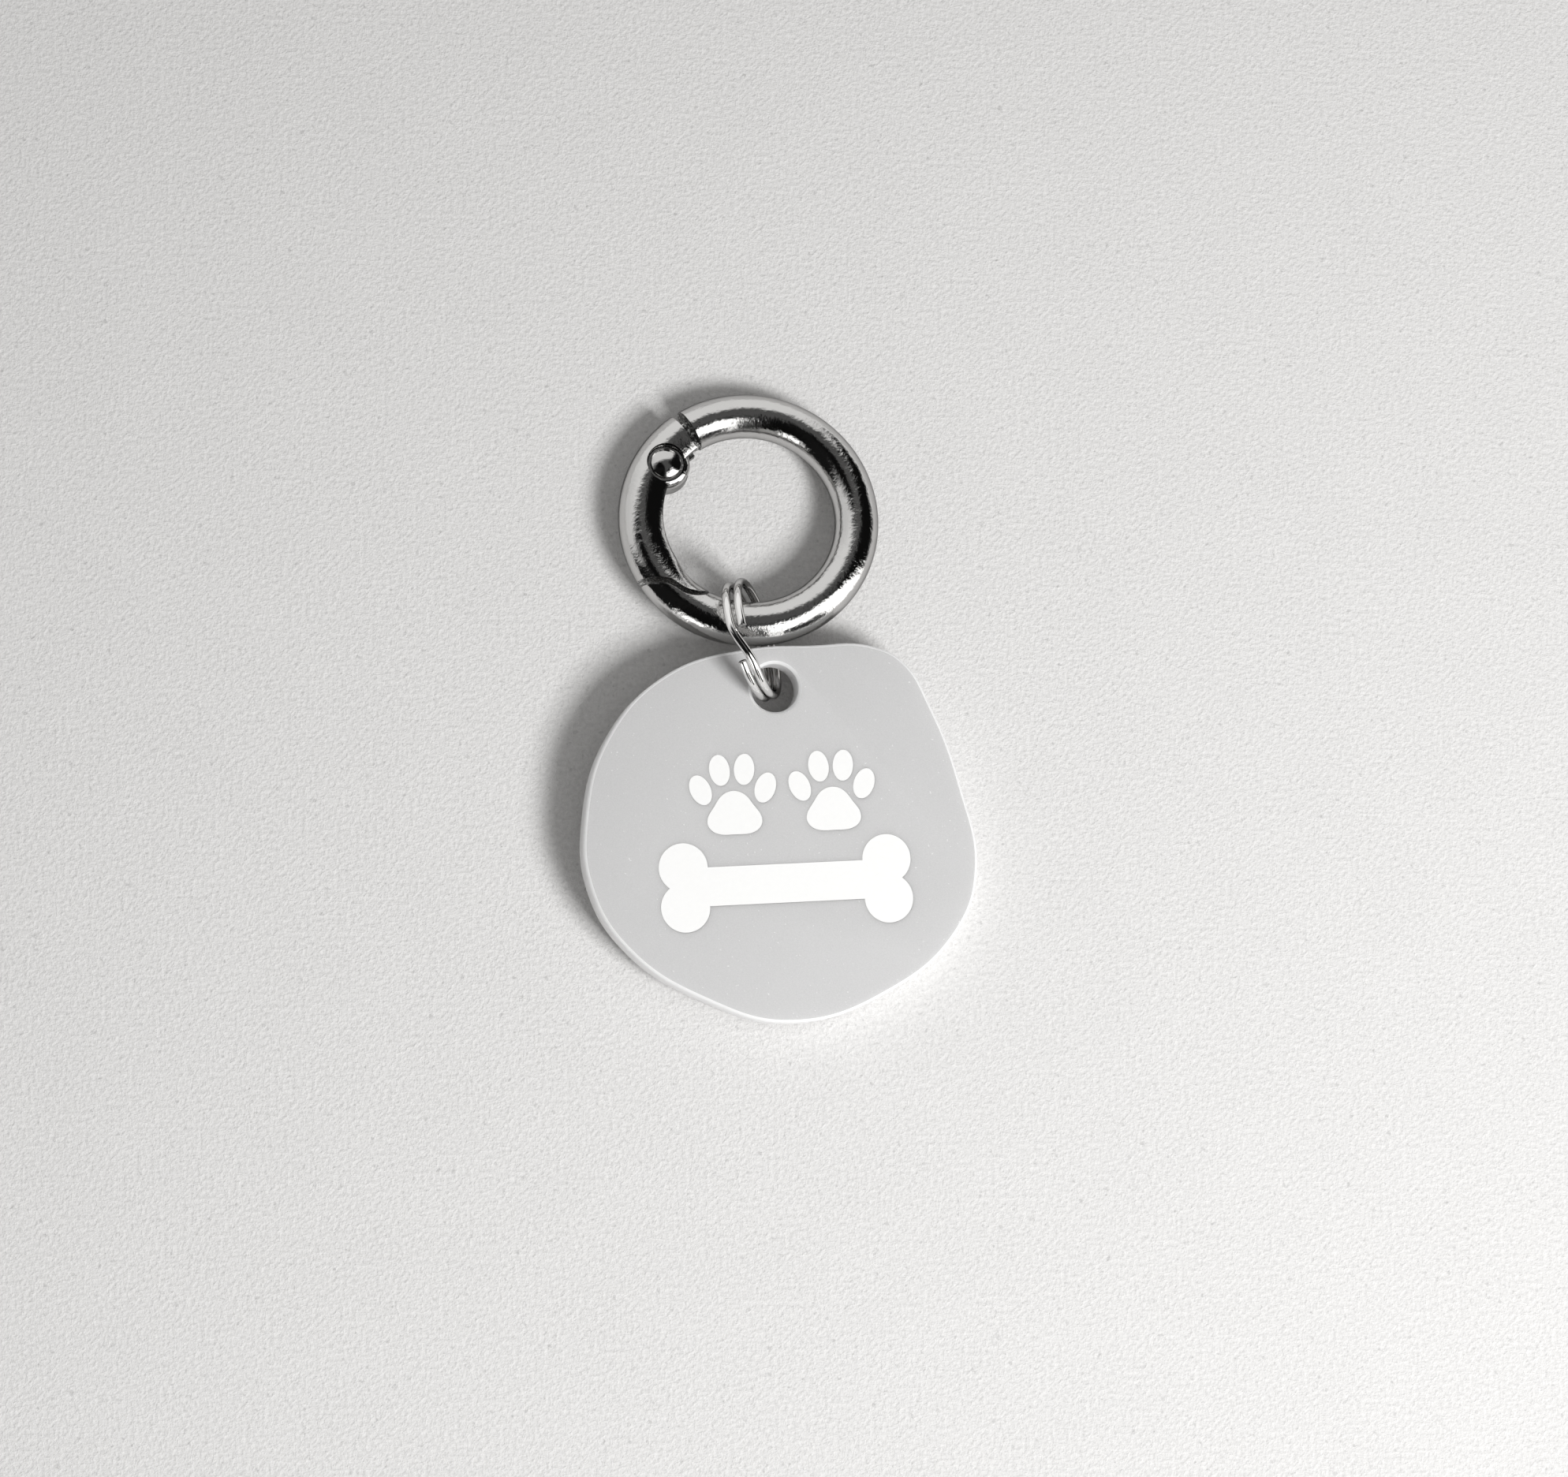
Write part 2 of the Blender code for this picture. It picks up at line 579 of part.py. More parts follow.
def main():
    for obj in list(bpy.data.objects):
        bpy.data.objects.remove(obj)

    parts = new_collection("dog_tag")
    cutters = new_collection("cutters")
    bright_cast = material("bright_cast_metal", (0.62, 0.62, 0.61), 0.06, 1.0)
    pin_metal = material("riveted_pin", (0.60, 0.60, 0.60), 0.12, 1.0)
    spring_steel = material("spring_steel", (0.42, 0.42, 0.43), 0.25, 1.0)
    steel_wire = material("bright_steel_wire", (0.78, 0.78, 0.77), 0.10, 1.0)
    acrylic = material("frosted_acrylic", (0.63, 0.62, 0.62), 0.55, 0.0)
    paint = material("white_paint", (0.95, 0.95, 0.94), 0.6, 0.0)

    shape = ClipShape()
    pose = Pose()
    base = empty("set_base", None, Matrix.Translation((CLIP_X, CLIP_Y, 0.0)))
    clip = empty("clip_axis", base, pose.clip)
    pivot = empty("gate_hinge_axis", clip, Matrix.Translation((*shape.pin, 0.0)))
    ring = empty("split_ring_axis", base, pose.split_ring)
    disc = empty("disc_frame", base, pose.disc)

    build_ring_frame(shape, parts, cutters, clip, pivot, bright_cast)
    build_gate(shape, parts, cutters, clip, pivot, bright_cast)
    build_hinge_pin(parts, pivot, pin_metal)
    build_gate_spring(parts, pivot, spring_steel)
    build_split_ring(parts, ring, pose.turn_offset, steel_wire)
    build_disc(parts, cutters, disc, acrylic)
    build_fills(parts, disc, paint)
    bpy.context.view_layer.update()


main()
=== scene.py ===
"""The dressed pet tag: a frosted acrylic disc on a split ring, hung from a round spring-gate clip."""
import json
from math import asin, atan2, cos, pi, radians, sin, sqrt

import bmesh
import bpy
from mathutils import Matrix, Vector


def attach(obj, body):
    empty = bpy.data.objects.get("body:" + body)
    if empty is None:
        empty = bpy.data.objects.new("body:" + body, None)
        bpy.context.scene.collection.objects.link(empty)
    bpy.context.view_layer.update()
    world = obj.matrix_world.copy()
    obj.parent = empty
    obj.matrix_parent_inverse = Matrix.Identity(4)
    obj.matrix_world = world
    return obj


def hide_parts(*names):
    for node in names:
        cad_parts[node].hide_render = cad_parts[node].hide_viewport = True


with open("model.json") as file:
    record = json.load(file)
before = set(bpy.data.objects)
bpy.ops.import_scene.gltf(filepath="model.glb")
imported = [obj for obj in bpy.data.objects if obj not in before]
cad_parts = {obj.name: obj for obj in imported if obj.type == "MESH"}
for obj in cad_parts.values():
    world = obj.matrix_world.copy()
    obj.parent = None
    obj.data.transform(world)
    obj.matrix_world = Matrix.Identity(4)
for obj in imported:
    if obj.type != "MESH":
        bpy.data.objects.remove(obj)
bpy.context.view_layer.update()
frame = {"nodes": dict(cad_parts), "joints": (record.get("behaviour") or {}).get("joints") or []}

scene = bpy.context.scene
scene.view_settings.view_transform = "Standard"


# The sheet of paper

# A plain pale sheet that the set lies on. It is uncoated paper with a fine mottled grain.
# It isn't part of the object.

MM = 0.001
SHEET_HALF_WIDTH = 0.9
PAPER_GRAIN = 0.42 * MM
PAPER_DOTS = 0.60 * MM
PAPER_CLOUDS = 7 * MM
PAPER_RELIEF = 0.16 * MM


class Socket:
    """An output of a node, which takes part in sums as a number does."""

    def __init__(self, nodes, output):
        self.nodes = nodes
        self.output = output

    def of(self, name):
        """Another output of the same node."""
        return Socket(self.nodes, self.output.node.outputs[name])

    def __add__(self, other):
        return self.nodes.sum("ADD", self, other)

    def __sub__(self, other):
        return self.nodes.sum("SUBTRACT", self, other)

    def __rsub__(self, other):
        return self.nodes.sum("SUBTRACT", other, self)

    def __mul__(self, other):
        return self.nodes.sum("MULTIPLY", self, other)

    def __truediv__(self, other):
        return self.nodes.sum("DIVIDE", self, other)

    def __pow__(self, other):
        return self.nodes.sum("POWER", self, other)

    __radd__ = __add__
    __rmul__ = __mul__


class Nodes:
    """The nodes of a finish, a light or a shape, each added by one call."""

    def __init__(self, tree):
        self.tree = tree

    def add(self, kind, settings=None, values=None, output=0):
        """A node of a kind, its settings first, then the values or links of its sockets."""
        node = self.tree.nodes.new(kind)
        for name, setting in (settings or {}).items():
            setattr(node, name, setting)
        for key, value in (values or {}).items():
            if isinstance(value, Socket):
                self.tree.links.new(value.output, node.inputs[key])
            else:
                node.inputs[key].default_value = value
        return Socket(self, node.outputs[output]) if node.outputs else None

    def sum(self, operation, *values):
        """The result of a Math node."""
        return self.add("ShaderNodeMath", {"operation": operation}, dict(enumerate(values)))

    def step(self, value, low, high):
        """0 below low, 1 above high, and a soft rise between them."""
        return self.add("ShaderNodeMapRange", {"interpolation_type": "SMOOTHSTEP"},
                        {"Value": value, "From Min": low, "From Max": high})

    def blend(self, share, first, second):
        """A colour between two colours."""
        return self.add("ShaderNodeMix", {"data_type": "RGBA"},
                        {0: share, 6: first, 7: second}, 2)

    def noise(self, size, detail=2.0, roughness=0.5):
        """Soft noise whose spots are about as wide as size, in metres."""
        return self.add("ShaderNodeTexNoise", {}, {
            "Vector": self.add("ShaderNodeTexCoord", output="Object"), "Scale": 1 / size,
            "Detail": detail, "Roughness": roughness})

    def grey(self, tone, green=1.0, blue=1.0):
        """A colour of one tone, with its green and blue a little higher or lower."""
        return self.add("ShaderNodeCombineColor", {}, {
            "Red": tone, "Green": tone * green, "Blue": tone * blue})

    def relief(self, height, distance, strength=1.0):
        """A bump of a height, over a distance in metres."""
        return self.add("ShaderNodeBump", {}, {
            "Strength": strength, "Distance": distance, "Height": height})


def finish(name, metallic=0.0):
    """An empty material, with the nodes and the shader that a piece's surface is made of."""
    material = bpy.data.materials.new(name)
    material.use_nodes = True
    shader = material.node_tree.nodes["Principled BSDF"]
    shader.inputs["Metallic"].default_value = metallic
    return material, Nodes(material.node_tree), shader


def feed(shader, **values):
    """Link what varies over a surface to its shader, by the name of the shader's socket."""
    for name, value in values.items():
        value.nodes.tree.links.new(value.output, shader.inputs[name.replace("_", " ")])


paper, grain, shader = finish("pale_paper")
speck = grain.noise(PAPER_GRAIN, 3.0, 0.65)
cloud = grain.noise(PAPER_CLOUDS)
dots = grain.step(grain.noise(PAPER_DOTS, 1.0), 0.66, 0.74)
feed(shader,
     Base_Color=grain.grey(0.62 + speck * 0.34 + cloud * 0.03 - dots * 0.12, 0.990, 0.980),
     Normal=grain.relief(speck, PAPER_RELIEF))
shader.inputs["Roughness"].default_value = 0.9
shader.inputs["Specular IOR Level"].default_value = 0.2

sheet = bpy.data.meshes.new("paper_sheet")
form = bmesh.new()
bmesh.ops.create_grid(form, x_segments=4, y_segments=4, size=SHEET_HALF_WIDTH)
form.to_mesh(sheet)
form.free()
sheet.materials.append(paper)
floor = bpy.data.objects.new("paper_sheet", sheet)
scene.collection.objects.link(floor)


# Light and camera

# A room with a large window at the lower right. The clip's mirror finish shows the windows
# with their bars, the pale walls and the darker corners. The light on the paper and the disc
# is soft and even, from one lamp at the large window.

LAMP_COMPASS = radians(314.0)     # anticlockwise from +X
LAMP_ZENITH = radians(40.0)       # from straight up
LAMP_DISTANCE = 0.50
LAMP_WIDTH = 0.16
LAMP_POWER = 2.20
EVEN_LIGHT = 0.30                 # what the room gives to all that isn't a mirror
VIEW_BACK = (-0.11964, -0.16378, 0.97923)
CAMERA_PLACE = (-0.04682, -0.06826, 0.39157)
SENSOR_WIDTH = 36.0
LENS_LENGTH = 96.1

lamp = bpy.data.lights.new("window_light", "AREA")
lamp.size = LAMP_WIDTH
lamp.energy = LAMP_POWER
lamp_object = bpy.data.objects.new("window_light", lamp)
spot = Vector((cos(LAMP_COMPASS) * sin(LAMP_ZENITH), sin(LAMP_COMPASS) * sin(LAMP_ZENITH),
               cos(LAMP_ZENITH))) * LAMP_DISTANCE
lamp_object.matrix_world = (Matrix.Translation(spot)
                            @ spot.to_track_quat("Z", "Y").to_matrix().to_4x4())
lamp_object.visible_glossy = False
scene.collection.objects.link(lamp_object)

room = bpy.data.worlds.new("room")
room.use_nodes = True
scene.world = room
sky = Nodes(room.node_tree)
sky.tree.nodes.clear()
direction = sky.add("ShaderNodeTexCoord", output="Generated")
east = sky.add("ShaderNodeSeparateXYZ", {}, {0: direction})
north, up = east.of("Y"), east.of("Z")
level = (east * east + north * north + 0.0001) ** 0.5
zenith = sky.sum("ARCTAN2", level, up) * (180 / pi)


def sector(middle, half_width, soft):
    """1 in a sector of the room round the set, 0 outside, in degrees anticlockwise from +X."""
    a = radians(middle)
    towards = (east * cos(a) + north * sin(a)) / level
    return sky.step(towards, cos(radians(half_width + soft)), cos(radians(half_width - soft)))


def band(low, high, soft):
    """1 between two angles from straight up, 0 outside."""
    return sky.step(zenith, low - soft, low + soft) * (1 - sky.step(zenith, high - soft,
                                                                    high + soft))


def beyond(middle, reach, soft):
    """1 past a straight edge overhead, which lies at a reach in the direction of middle."""
    a = radians(middle)
    ahead = (east * cos(a) + north * sin(a)) / sky.sum("MAXIMUM", up, 0.02)
    return sky.step(ahead, reach - soft, reach + soft)


def lit(rest, share, light):
    """The room with one part of it at another brightness."""
    return rest + (light - rest) * share


light = lit(sector(20, 105, 15) * 0.10 + 0.005, beyond(105, 0.62, 0.13), 0.96)   # pale ceiling
light = lit(light, band(52, 180, 20) * sector(165, 25, 12), 0.80)     # pale wall
light = lit(light, sector(205, 20, 6) * band(-9, 89, 1), 0.010)       # dark corner
light = lit(light, sector(20, 36, 5) * band(24, 81, 4), 0.006)        # dark door
light = lit(light, sector(330, 24, 6) * band(16, 60, 3), 0.006)       # dark blind
light = lit(light, sector(320, 32, 2) * band(26, 180, 2), 2.6)        # large window
light = lit(light, sector(283, 20, 3) * band(41, 43.5, 0.6), 0.05)    # its bar
light = lit(light, sector(308, 15, 3) * band(62, 180, 2), 0.05)       # its sill
light = lit(light, sector(281, 7, 3) * band(30, 60, 4), 0.16)         # its curtain
light = lit(light, sector(238, 9, 2) * band(64, 180, 3), 2.2)         # second window
light = lit(light, sector(255, 8, 3) * band(74, 180, 4), 0.30)        # wall between the windows
path = sky.add("ShaderNodeLightPath", output="Is Glossy Ray")
rays = path * (1 - sky.sum("MINIMUM", path.of("Diffuse Depth"), 1.0))
sky.add("ShaderNodeOutputWorld", {}, {
    "Surface": sky.add("ShaderNodeBackground", {}, {
        "Color": (1.0, 0.995, 0.985, 1.0),
        "Strength": EVEN_LIGHT + (light - EVEN_LIGHT) * rays})})

view_back = Vector(VIEW_BACK)
view_up = view_back.cross(Vector((1.0, 0.0, 0.0))).normalized()
lens = bpy.data.cameras.new("camera")
lens.sensor_width = SENSOR_WIDTH
lens.lens = LENS_LENGTH
camera = bpy.data.objects.new("camera", lens)
camera.matrix_world = (Matrix.Translation(CAMERA_PLACE)
                       @ Matrix((view_up.cross(view_back), view_up, view_back)).transposed().to_4x4())
scene.collection.objects.link(camera)
scene.camera = camera


# Clip frame

# Most of the clip's round, cast in zinc, tumbled smooth and plated bright. At the lower left
# it ends in the stepped nose that the gate closes on, and at the upper left in a full
# shoulder with the tang that carries the hinge pin.

CLIP_RADIUS = 10.4 * MM
SECTION_RADIUS = 2.1 * MM
INNER = CLIP_RADIUS - SECTION_RADIUS
OUTER = CLIP_RADIUS + SECTION_RADIUS
NOSE_GAP = 0.58 * MM
NOSE_LEAN = 72.0
NOSE_STEP = [
    (1.6, 206.0), (0.8, 214.5), (0.49, 221.0), (0.38, 231.5), (0.12, 240.5), (-0.45, 251.0),
]
SHOULDER_ANGLE = 121.5
HINGE_GROOVE = 0.85 * MM
GATE_END = SHOULDER_ANGLE + HINGE_GROOVE / CLIP_RADIUS * 180 / pi
HINGE_ANGLE = 147.2
HINGE_INSET = 0.95 * MM
SLOT_HALF_HEIGHT = 0.95 * MM
SLOT_OUTER_WALL = 1.05 * MM
TANG_SIDE_CLEARANCE = 0.25 * MM
TANG_SETBACK = 0.25 * MM
TANG_EYE_RADIUS = 1.5 * MM
TANG_EYE_THICKNESS = 0.5 * MM
TANG_ROOT = 8                     # degrees by which the tang reaches into the shoulder
TANG_ROUNDING = 0.05 * MM
PIN_HOLE_RADIUS = 0.75 * MM
END_ROUNDING = 0.17 * MM
WALL_START = 0.9                  # share of the section's radius where a crowned bar's wall is
THROUGH = 4 * MM                  # reach of a cut that goes right through the clip

joints = {joint["name"]: joint for joint in frame["joints"]}


def joint_place(name, along=None):
    """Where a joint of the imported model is: its axis as Z, and a level direction as X."""
    axis = Vector(joints[name]["axis"]).normalized()
    spot = Matrix.Translation(Vector(joints[name]["pos_m"]))
    if along is None:
        return spot @ Vector((0.0, 0.0, 1.0)).rotation_difference(axis).to_matrix().to_4x4()
    first = Vector((0.0, 0.0, 1.0)).cross(axis).normalized() * along
    return spot @ Matrix((first, axis.cross(first), axis)).transposed().to_4x4()


def angle_point(radius, degrees, centre=(0.0, 0.0)):
    """A point in plan at an angle, anticlockwise from +X."""
    return (centre[0] + radius * cos(radians(degrees)), centre[1] + radius * sin(radians(degrees)))


def arc(radius, start, end, steps, centre=(0.0, 0.0)):
    """Points along an arc, both ends included."""
    return [angle_point(radius, start + (end - start) * i / steps, centre) for i in range(steps + 1)]


def smooth_line(points, steps):
    """A smooth open line through points in plan, each span in steps."""
    line = []
    for i in range(len(points) - 1):
        before = points[max(i - 1, 0)]
        a, b = points[i], points[i + 1]
        after = points[min(i + 2, len(points) - 1)]
        for j in range(steps):
            t = j / steps
            line.append(tuple(
                0.5 * (2 * a[k] + (b[k] - before[k]) * t
                       + (2 * before[k] - 5 * a[k] + 4 * b[k] - after[k]) * t * t
                       + (3 * a[k] - before[k] - 3 * b[k] + after[k]) * t ** 3)
                for k in range(2)))
    return line + [points[-1]]


def nose_end(side):
    """The step's angle by radius, on the gate's side (1) or the frame's (-1) of the gap."""
    shift = angle_point(side * NOSE_GAP / 2, NOSE_LEAN)
    ends = [angle_point(INNER + share * 2 * SECTION_RADIUS, angle) for share, angle in NOSE_STEP]
    line = [(x + shift[0], y + shift[1]) for x, y in smooth_line(ends, 12)]
    turns = [(Vector(point).length, atan2(point[1], point[0]) % (2 * pi)) for point in line]

    def at(radius):
        for (r1, a1), (r2, a2) in zip(turns, turns[1:]):
            if r2 <= radius <= r1:
                return a1 + (a2 - a1) * (r1 - radius) / (r1 - r2)
        return turns[0][1] if radius > turns[0][0] else turns[-1][1]
    return at


def mesh_piece(name, form, materials):
    """A piece from a finished form, with its materials."""
    mesh = bpy.data.meshes.new(name)
    bmesh.ops.recalc_face_normals(form, faces=form.faces)
    form.to_mesh(mesh)
    form.free()
    for material in materials:
        mesh.materials.append(material)
    obj = bpy.data.objects.new(name, mesh)
    scene.collection.objects.link(obj)
    return obj


def round_bar(name, start, end, materials, crown=None, rows=112, lengths=220):
    """A bar along the clip's round, between two ends given as angles by radius.

    The ends have the second material. A crown squares the bar's inner half: it gives, by angle,
    the radius of that half's top and foot, as a share of the section's, and how far it applies.
    """
    form = bmesh.new()
    rings = []
    for i in range(lengths + 1):
        ring = []
        for j in range(rows):
            turn = 2 * pi * j / rows
            across, rise = cos(turn), sin(turn)
            if crown and across < 0:
                middle = start(CLIP_RADIUS) + (end(CLIP_RADIUS) - start(CLIP_RADIUS)) * i / lengths
                ball, share = crown(middle * 180 / pi)
                flat = max(across / WALL_START, -1.0)
                high = ((1 - ball + sqrt(ball ** 2 - flat ** 2))
                        * rise / max(abs(rise), sqrt(1 - WALL_START ** 2)))
                across += (flat - across) * share
                rise += (high - rise) * share
            radius = CLIP_RADIUS + SECTION_RADIUS * across
            angle = start(radius) + (end(radius) - start(radius)) * i / lengths
            ring.append(form.verts.new((radius * cos(angle), radius * sin(angle),
                                        SECTION_RADIUS * rise)))
        rings.append(ring)
    for a, b in zip(rings, rings[1:]):
        for j in range(rows):
            k = (j + 1) % rows
            form.faces.new((a[j], a[k], b[k], b[j]))
    for ring in (rings[0], rings[-1]):
        depths = [vert.co.length_squared - vert.co.z ** 2 for vert in ring]
        wall = next(j for j in range(rows) if depths[j] < min(depths) + 1e-9)
        for j in range(wall - 1):
            corners = [ring[j], ring[j + 1], ring[rows - j - 1], ring[(rows - j) % rows]]
            form.faces.new(list(dict.fromkeys(corners))).material_index = 1
        form.faces.new(ring[wall - 1:rows - wall + 2]).material_index = 1
    return mesh_piece(name, form, materials)


def plate(name, outline, low, high, materials):
    """A flat outline with a thickness, from low to high."""
    form = bmesh.new()
    face = form.faces.new([form.verts.new((x, y, low)) for x, y in outline])
    top = bmesh.ops.extrude_face_region(form, geom=[face])["geom"]
    bmesh.ops.translate(form, verts=[v for v in top if isinstance(v, bmesh.types.BMVert)],
                        vec=(0.0, 0.0, high - low))
    return mesh_piece(name, form, materials)


def turned(name, profile, materials, steps=96, centre=(0.0, 0.0)):
    """A turned shape from (radius, height) points that start and end on its axis."""
    form = bmesh.new()
    rings = []
    for radius, height in profile:
        if radius < 1e-7:
            rings.append([form.verts.new((centre[0], centre[1], height))] * steps)
        else:
            rings.append([form.verts.new((*angle_point(radius, 360 * i / steps, centre), height))
                          for i in range(steps)])
    for a, b in zip(rings, rings[1:]):
        for i in range(steps):
            k = (i + 1) % steps
            form.faces.new(list(dict.fromkeys((a[i], a[k], b[k], b[i]))))
    return mesh_piece(name, form, materials)


def in_gap_shade_skin(obj):
    """Give all of a piece's or tool's faces the second material, the one with painted gap shade."""
    for face in obj.data.polygons:
        face.material_index = 1
    return obj


def apply(obj):
    """Make what the modifiers show the object's own mesh."""
    bpy.context.view_layer.update()
    evaluated = obj.evaluated_get(bpy.context.evaluated_depsgraph_get())
    mesh = bpy.data.meshes.new_from_object(evaluated)
    obj.modifiers.clear()
    old = obj.data
    obj.data = mesh
    bpy.data.meshes.remove(old)
    mesh.name = obj.name


def round_edges(obj, width, segments, angle=40):
    """Round the edges that are sharper than an angle, in the first material."""
    edges = obj.modifiers.new("Rounded edges", "BEVEL")
    edges.width = width
    edges.segments = segments
    edges.limit_method = "ANGLE"
    edges.angle_limit = radians(angle)
    edges.material = 0
    apply(obj)


def work(obj, tool, operation):
    """Cut, join or trim a piece with a tool, which is used up."""
    modifier = obj.modifiers.new(operation, "BOOLEAN")
    modifier.operation = operation
    modifier.solver = "EXACT"
    modifier.object = tool
    apply(obj)
    bpy.data.objects.remove(tool)


def set_down(obj, place, smooth=32):
    """Merge a finished mesh's doubles, and put it in its place on the set."""
    form = bmesh.new()
    form.from_mesh(obj.data)
    bmesh.ops.remove_doubles(form, verts=form.verts, dist=0.0002 * MM)
    form.to_mesh(obj.data)
    form.free()
    obj.data.transform(place)
    obj.data.shade_smooth()
    obj.data.set_sharp_from_angle(angle=radians(smooth))


def plated(name, tone, roughness, dimple):
    """Bright plating over a casting: fine dimples, and a little haze in patches."""
    material, metal, shader = finish(name, 1.0)
    shader.inputs["Specular Tint"].default_value = (0.38, 0.38, 0.38, 1.0)
    ripple = metal.noise(0.9 * MM, 2.0)
    pits = metal.noise(0.30 * MM, 3.0, 0.7)
    haze = metal.noise(3.1 * MM, 2.0)
    feed(shader,
         Base_Color=metal.grey(tone - haze * 0.05, 0.992, 0.980),
         Roughness=roughness + metal.step(haze, 0.45, 0.75) * 0.05,
         Normal=metal.relief(pits + ripple * 2.0, dimple))
    return material


def gap_shade_skin():
    """The grainy skin of the cut ends, the tang and the slot, with painted shade: a nearly black base
    stands for the dark gaps and grooves, and bright specks in its grain are painted glints.
    """
    material, metal, shader = finish("gap_skin_painted_shade", 1.0)
    grit_and_glints = metal.noise(0.26 * MM, 3.0, 0.75)
    feed(shader,
         # Painted shade and painted glints: a nearly black base with bright specks.
         Base_Color=metal.grey(0.07 + metal.step(grit_and_glints, 0.46, 0.62) * 0.86, 1.0, 0.985),
         Roughness=0.16 + grit_and_glints * 0.30,
         Normal=metal.relief(grit_and_glints, 0.07 * MM))
    return material


clip_place = joint_place("split_ring_travel")
pin_spot = angle_point(CLIP_RADIUS - HINGE_INSET, HINGE_ANGLE)
clip_metal = (plated("bright_cast_metal", 0.63, 0.05, 0.020 * MM), gap_shade_skin())

frame_nose = nose_end(-1)
ring_frame = round_bar("clip_frame_casting", frame_nose,
                       lambda radius: radians(SHOULDER_ANGLE + 360), clip_metal, lengths=300)
round_edges(ring_frame, END_ROUNDING, 3)
tang_half = SLOT_HALF_HEIGHT - TANG_SIDE_CLEARANCE
tang_outer = OUTER - SLOT_OUTER_WALL - TANG_SIDE_CLEARANCE
tang_root = SHOULDER_ANGLE - TANG_ROOT
tang = in_gap_shade_skin(plate("tang", arc(tang_outer, tang_root, HINGE_ANGLE - 7, 24)
                      + arc(TANG_EYE_RADIUS, HINGE_ANGLE, HINGE_ANGLE + 180, 36, pin_spot)
                      + arc(INNER + TANG_SETBACK, HINGE_ANGLE - 8, tang_root, 18),
                      -tang_half, tang_half, clip_metal))
round_edges(tang, TANG_ROUNDING, 2, 60)
coil_room = TANG_EYE_RADIUS + TANG_SIDE_CLEARANCE
eye_top = TANG_EYE_THICKNESS - tang_half
work(tang, in_gap_shade_skin(turned("room", [(0, eye_top), (coil_room, eye_top), (coil_room, THROUGH),
                                    (0, THROUGH)], clip_metal, 72, pin_spot)), "DIFFERENCE")
pin_hole = [(0, -THROUGH), (PIN_HOLE_RADIUS, -THROUGH), (PIN_HOLE_RADIUS, THROUGH), (0, THROUGH)]
work(tang, in_gap_shade_skin(turned("pin_hole", pin_hole, clip_metal, 48, pin_spot)), "DIFFERENCE")
work(ring_frame, tang, "UNION")
set_down(ring_frame, clip_place)
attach(ring_frame, "clip_frame")
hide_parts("ring_frame")


# Gate

# The rest of the round, cast and plated like the frame. A knuckle swells round the pin, a
# slot between two cheeks takes the tang, and a tongue at its other end lies in the nose.

KNUCKLE_RADIUS = 2.4 * MM
KNUCKLE_HALF_HEIGHT = 1.6 * MM
KNUCKLE_ROUNDING = 0.9 * MM
CHEEK_UNDER_HEAD = 0.4 * MM
PIN_HEAD_RADIUS = 1.45 * MM
COUNTERSINK_CLEARANCE = 0.4 * MM
COUNTERSINK_CORNER = 0.15 * MM
PIN_CROWN = 5.5 * MM
ARM_CROWN = 3.2 * MM
ARM_STARTS = (138.0, 152.0)       # degrees over which the one crown goes into the other
ARM_ROUNDS = (190.0, 212.0)       # degrees over which the arm becomes round
SLOT_MOUTH = (pin_spot[0] + 5.0 * MM, pin_spot[1] - 0.6 * MM)


def ease(value, low, high):
    """0 below low, 1 above high, and a soft rise between them."""
    share = min(max((value - low) / (high - low), 0.0), 1.0)
    return share * share * (3 - 2 * share)


def gate_crown(angle):
    """Nearly flat beside the pin, flatter than round along the gate, and round at the nose."""
    crown = PIN_CROWN + (ARM_CROWN - PIN_CROWN) * ease(angle, *ARM_STARTS)
    return crown / SECTION_RADIUS, 1 - ease(angle, *ARM_ROUNDS)


gate = round_bar("gate_casting", lambda radius: radians(GATE_END), nose_end(1), clip_metal,
                 gate_crown, lengths=150)
round_edges(gate, END_ROUNDING, 3, 65)
flat = KNUCKLE_RADIUS - KNUCKLE_ROUNDING
shelf = KNUCKLE_HALF_HEIGHT - KNUCKLE_ROUNDING
quarter = [(flat + KNUCKLE_ROUNDING * sin(radians(a)), shelf + KNUCKLE_ROUNDING * cos(radians(a)))
           for a in range(0, 91, 9)]
work(gate, turned("knuckle", [(0, KNUCKLE_HALF_HEIGHT)] + quarter
                  + [(x, -z) for x, z in reversed(quarter)] + [(0, -KNUCKLE_HALF_HEIGHT)],
                  clip_metal, 128, pin_spot), "UNION")
work(gate, in_gap_shade_skin(plate("slot", arc(OUTER - SLOT_OUTER_WALL, SHOULDER_ANGLE - 3,
                                      HINGE_ANGLE - 7, 24)
                          + arc(TANG_EYE_RADIUS + TANG_SIDE_CLEARANCE, HINGE_ANGLE + 10,
                                HINGE_ANGLE + 150, 36, pin_spot) + [SLOT_MOUTH],
                          -SLOT_HALF_HEIGHT, SLOT_HALF_HEIGHT, clip_metal)), "DIFFERENCE")
work(gate, in_gap_shade_skin(turned("pin_hole", pin_hole, clip_metal, 48, pin_spot)), "DIFFERENCE")
sink = PIN_HEAD_RADIUS + COUNTERSINK_CLEARANCE
sink_floor = SLOT_HALF_HEIGHT + CHEEK_UNDER_HEAD
for side in (1, -1):
    countersink = [(0, side * sink_floor), (sink - COUNTERSINK_CORNER, side * sink_floor),
                   (sink, side * (sink_floor + COUNTERSINK_CORNER)), (sink, side * THROUGH),
                   (0, side * THROUGH)]
    work(gate, turned("countersink", countersink, clip_metal, 96, pin_spot), "DIFFERENCE")
set_down(gate, clip_place)
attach(gate, "clip_gate")
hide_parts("gate")


# Hinge pin

# A plated steel rivet with a domed head on either face of the clip, set in the countersinks
# and fast in the gate's cheeks.

